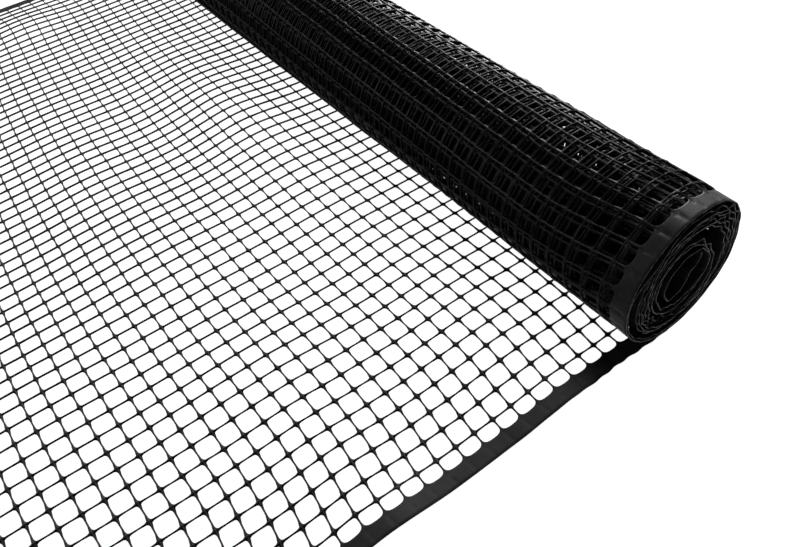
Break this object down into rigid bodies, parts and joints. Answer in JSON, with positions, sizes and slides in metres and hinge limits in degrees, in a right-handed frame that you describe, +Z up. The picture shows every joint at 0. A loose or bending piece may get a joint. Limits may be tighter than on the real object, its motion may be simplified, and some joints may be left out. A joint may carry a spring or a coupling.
{
  "type": "roll of balcony mesh",
  "caption": "Roll of black plastic square-mesh netting with solid selvedge bands, wound round an open core, its loose end laid out in front; screens balconies and railings.",
  "frame": {"origin": "middle of the flat spot that the roll stands on, half way along the roll", "axes": "+X along the roll toward the near selvedge, +Y from the loose end toward the roll's back, +Z up"},
  "size_m": [0.99, 0.5423, 0.1174],
  "materials": {
    "net_plastic": "black extruded plastic net with a soft sheen, smooth selvedge bands"
  },
  "bodies": {
    "root": {"roll": "net_plastic", "loose_end": "net_plastic"}
  },
  "joints": []
}
